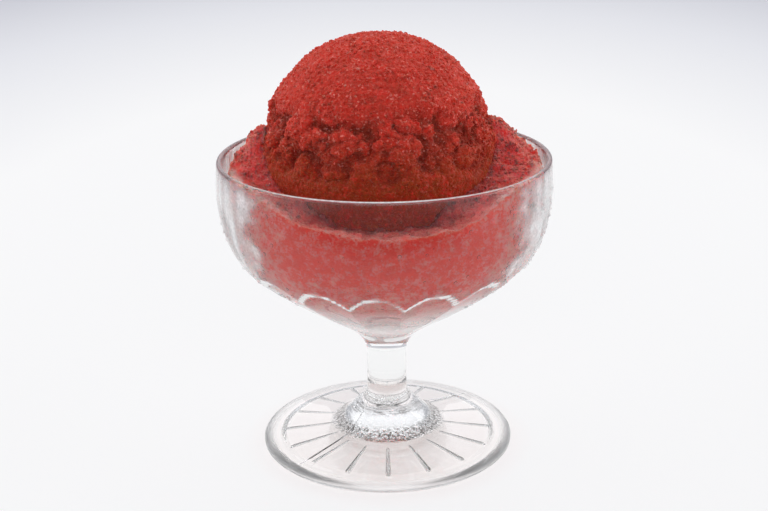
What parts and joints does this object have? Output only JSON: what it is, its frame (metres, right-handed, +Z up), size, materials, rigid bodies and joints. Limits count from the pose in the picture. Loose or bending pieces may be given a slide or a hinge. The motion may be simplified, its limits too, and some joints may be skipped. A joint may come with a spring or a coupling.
{
  "type": "sherbet cup",
  "caption": "Red sherbet in a pressed-glass footed dish: a torn, icy ball resting on a bed of sherbet that fills the bowl.",
  "frame": {"origin": "middle of the foot, on the surface it stands on", "axes": "+Z up through the stem; -Y is the front shown in the picture, +X the viewer's right"},
  "size_m": [0.096, 0.096, 0.1236],
  "materials": {
    "pressed_glass": "clear fire-polished pressed glass, lightly misted with cold on the bowl",
    "red_sherbet": "frozen, finely crystalline fruit ice, translucent red with small icy glints"
  },
  "bodies": {
    "root": {"glass_dish": "pressed_glass", "sherbet_bed": "red_sherbet", "sherbet_scoop": "red_sherbet"}
  },
  "joints": []
}
